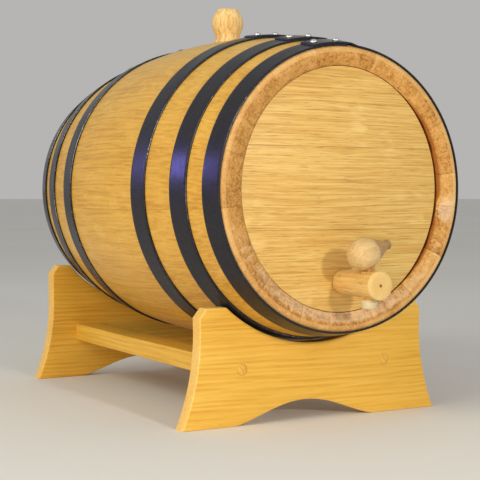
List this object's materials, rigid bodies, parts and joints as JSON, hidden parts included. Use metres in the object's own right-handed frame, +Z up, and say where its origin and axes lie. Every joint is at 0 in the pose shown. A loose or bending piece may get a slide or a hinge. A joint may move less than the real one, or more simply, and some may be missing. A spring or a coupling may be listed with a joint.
{
  "type": "oak wine barrel on a stand",
  "caption": "Small oak ageing barrel lying on a cradle stand, with staves, riveted hoops, a pull-out bung and a wooden spigot with a turning key.",
  "frame": {"origin": "on the floor under the middle of the object's bounding box", "axes": "+Y along the barrel's axis, away from the spigot; +X to the right of someone facing the spigot; +Z up"},
  "size_m": [0.302, 0.472, 0.401],
  "materials": {
    "stave_oak": "golden oak under a satin varnish, grain along the barrel",
    "head_oak": "lighter oak under a satin varnish, level grain across the head",
    "hoop_steel": "gloss black paint, worn to bare steel along the edges",
    "rivet_steel": "bare dome heads, slightly dull",
    "screw_steel": "plain steel screws, out of sight under their plugs",
    "bung_oak": "turned wood, plain and dry",
    "spigot_wood": "turned wood, lightly oiled, with a pale end",
    "stand_wood": "orange-tan wood, satin, with pale eased edges",
    "plug_wood": "wood plugs, flush and a little darker than the boards"
  },
  "bodies": {
    "stand": {"board_front": "stand_wood", "board_rear": "stand_wood", "plug_front_left": "plug_wood", "plug_front_right": "plug_wood", "plug_rear_left": "plug_wood", "plug_rear_right": "plug_wood", "rail_left": "stand_wood", "rail_right": "stand_wood", "screw_front_left": "screw_steel", "screw_front_right": "screw_steel", "screw_rear_left": "screw_steel", "screw_rear_right": "screw_steel"},
    "barrel": {"head_front_bottom": "head_oak", "head_front_middle": "head_oak", "head_front_top": "head_oak", "head_rear_bottom": "head_oak", "head_rear_middle": "head_oak", "head_rear_top": "head_oak", "hoop_front_bilge": "hoop_steel", "hoop_front_head": "hoop_steel", "hoop_front_quarter": "hoop_steel", "hoop_rear_bilge": "hoop_steel", "hoop_rear_head": "hoop_steel", "hoop_rear_quarter": "hoop_steel", "rivet_front_bilge_1": "rivet_steel", "rivet_front_bilge_2": "rivet_steel", "rivet_front_head_1": "rivet_steel", "rivet_front_head_2": "rivet_steel", "rivet_front_quarter_1": "rivet_steel", "rivet_front_quarter_2": "rivet_steel", "rivet_rear_bilge_1": "rivet_steel", "rivet_rear_bilge_2": "rivet_steel", "rivet_rear_head_1": "rivet_steel", "rivet_rear_head_2": "rivet_steel", "rivet_rear_quarter_1": "rivet_steel", "rivet_rear_quarter_2": "rivet_steel", "spigot_body": "spigot_wood", "stave_bung": "stave_oak", "stave_left_1": "stave_oak", "stave_left_2": "stave_oak", "stave_left_3": "stave_oak", "stave_left_4": "stave_oak", "stave_left_5": "stave_oak", "stave_left_6": "stave_oak", "stave_left_7": "stave_oak", "stave_right_1": "stave_oak", "stave_right_2": "stave_oak", "stave_right_3": "stave_oak", "stave_right_4": "stave_oak", "stave_right_5": "stave_oak", "stave_right_6": "stave_oak", "stave_right_7": "stave_oak", "stave_right_8": "stave_oak", "stave_right_9": "stave_oak"},
    "bung": {"bung": "bung_oak"},
    "key": {"spigot_handle": "spigot_wood", "spigot_key": "spigot_wood"}
  },
  "joints": [
    {"name": "barrel_lift", "type": "slide", "parent": "stand", "child": "barrel", "axis": [0, 0, 1], "range_m": [0, 0.15]},
    {"name": "bung_pull", "type": "slide", "parent": "barrel", "child": "bung", "axis": [0, 0, 1], "range_m": [0, 0.06]},
    {"name": "key_turn", "type": "hinge", "parent": "barrel", "child": "key", "pos_m": [0, -0.219, 0.131], "axis": [0, 0, 1], "range_deg": [-90, 0]}
  ]
}
